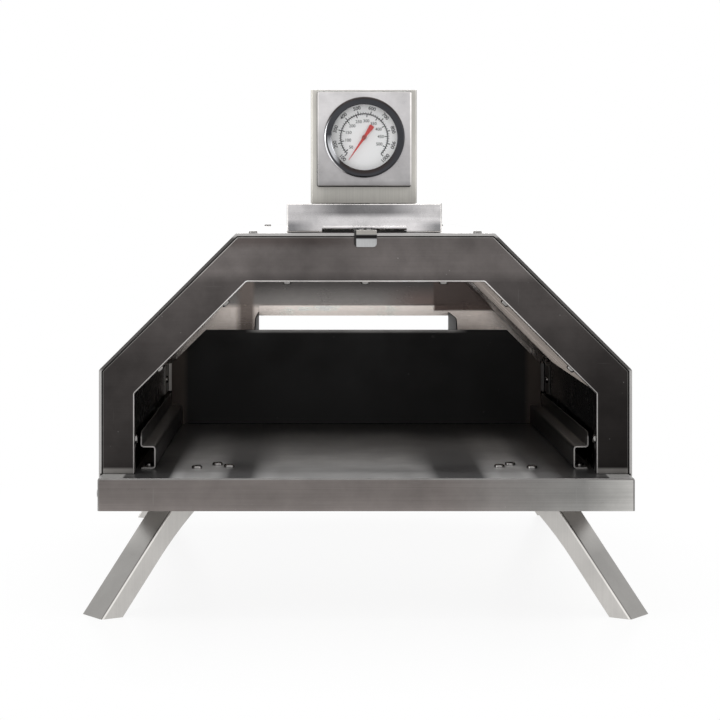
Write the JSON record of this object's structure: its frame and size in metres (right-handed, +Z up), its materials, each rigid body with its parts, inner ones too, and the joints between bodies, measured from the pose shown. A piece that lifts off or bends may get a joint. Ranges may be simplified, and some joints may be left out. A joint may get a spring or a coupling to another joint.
{
  "type": "pellet pizza oven",
  "caption": "Tabletop pizza oven of folded stainless sheet with fold-away splayed legs, a square chimney with damper and dial thermometer, and a rear pellet drawer.",
  "frame": {"origin": "on the ground under the middle of the oven's overall width and length", "axes": "+X to the right seen from the front, +Y from the mouth to the pellet box, +Z up"},
  "size_m": [0.4348, 0.6576, 0.4045],
  "materials": {
    "bright_steel": "fine brushed",
    "brushed_steel": "brushed",
    "dark_steel": "dark brushed, satin",
    "sill_steel": "brushed along its width",
    "black_steel": "matt black, heat-proof",
    "screw_steel": "plain",
    "fibre": "ceramic fibre",
    "glass": "clear",
    "dial_white": "printed white",
    "pointer_red": "matt red",
    "knob_black": "moulded, matt"
  },
  "bodies": {
    "oven": {"base_pan": "sill_steel", "outer_shell": "brushed_steel", "front_panel": "dark_steel", "back_panel": "brushed_steel", "inner_liner": "brushed_steel", "insulation_blanket": "fibre", "stone_rail_left": "black_steel", "stone_rail_right": "black_steel", "baffle_plate": "black_steel", "baffle_bracket_left": "black_steel", "baffle_bracket_right": "black_steel", "burner_side_plate_left": "brushed_steel", "burner_side_plate_right": "brushed_steel", "flue_sleeve": "brushed_steel", "chimney_collar": "bright_steel", "leg_bracket_front_left": "screw_steel", "leg_bracket_front_right": "screw_steel", "leg_bracket_rear_left": "screw_steel", "leg_bracket_rear_right": "screw_steel", "leg_pin_front_left": "screw_steel", "leg_pin_front_right": "screw_steel", "leg_pin_rear_left": "screw_steel", "leg_pin_rear_right": "screw_steel", "leg_bolt_front_left_1": "screw_steel", "leg_bolt_front_left_2": "screw_steel", "leg_bolt_front_left_3": "screw_steel", "leg_bolt_front_right_1": "screw_steel", "leg_bolt_front_right_2": "screw_steel", "leg_bolt_front_right_3": "screw_steel", "leg_bolt_rear_left_1": "screw_steel", "leg_bolt_rear_left_2": "screw_steel", "leg_bolt_rear_left_3": "screw_steel", "leg_bolt_rear_right_1": "screw_steel", "leg_bolt_rear_right_2": "screw_steel", "leg_bolt_rear_right_3": "screw_steel", "pellet_box": "brushed_steel", "lid_pin": "screw_steel"},
    "chimney": {"chimney_tube": "brushed_steel", "thermometer_plate": "bright_steel", "thermometer_case": "brushed_steel", "thermometer_bezel": "bright_steel", "thermometer_glass": "glass", "thermometer_dial": "dial_white", "thermometer_stem": "screw_steel", "thermometer_nut": "screw_steel"},
    "pointer": {"thermometer_pointer": "pointer_red", "thermometer_spindle": "screw_steel"},
    "damper": {"damper_plate": "brushed_steel", "damper_tab": "bright_steel"},
    "drawer": {"fuel_drawer": "brushed_steel", "fuel_grate": "black_steel", "drawer_knob": "knob_black", "drawer_knob_screw": "screw_steel"},
    "lid": {"pellet_box_lid": "brushed_steel"},
    "front_left_leg": {"leg_front_left": "brushed_steel"},
    "front_right_leg": {"leg_front_right": "brushed_steel"},
    "rear_left_leg": {"leg_rear_left": "brushed_steel"},
    "rear_right_leg": {"leg_rear_right": "brushed_steel"}
  },
  "joints": [
    {"name": "front_left_leg_fold", "type": "hinge", "parent": "oven", "child": "front_left_leg", "pos_m": [-0.1376, -0.26689, 0.0929], "axis": [0.5707, -0.8212, 0], "range_deg": [0, 128]},
    {"name": "front_right_leg_fold", "type": "hinge", "parent": "oven", "child": "front_right_leg", "pos_m": [0.1376, -0.26689, 0.0929], "axis": [0.5707, 0.8212, 0], "range_deg": [0, 128]},
    {"name": "rear_left_leg_fold", "type": "hinge", "parent": "oven", "child": "rear_left_leg", "pos_m": [-0.1376, 0.17831, 0.0929], "axis": [-0.5707, -0.8212, 0], "range_deg": [0, 128]},
    {"name": "rear_right_leg_fold", "type": "hinge", "parent": "oven", "child": "rear_right_leg", "pos_m": [0.1376, 0.17831, 0.0929], "axis": [-0.5707, 0.8212, 0], "range_deg": [0, 128]},
    {"name": "chimney_lift", "type": "slide", "parent": "oven", "child": "chimney", "axis": [0, 0, 1], "range_m": [0, 0.03]},
    {"name": "pointer_turn", "type": "hinge", "parent": "chimney", "child": "pointer", "pos_m": [0, -0.25474, 0.36635], "axis": [0, 1, 0], "range_deg": [0, 281]},
    {"name": "damper_pull", "type": "slide", "parent": "oven", "child": "damper", "axis": [0, -1, 0], "range_m": [0, 0.085]},
    {"name": "drawer_pull", "type": "slide", "parent": "oven", "child": "drawer", "axis": [0, 1, 0], "range_m": [0, 0.165]},
    {"name": "lid_swing", "type": "hinge", "parent": "oven", "child": "lid", "pos_m": [0, 0.24301, 0.176], "axis": [1, 0, 0], "range_deg": [0, 95]}
  ]
}
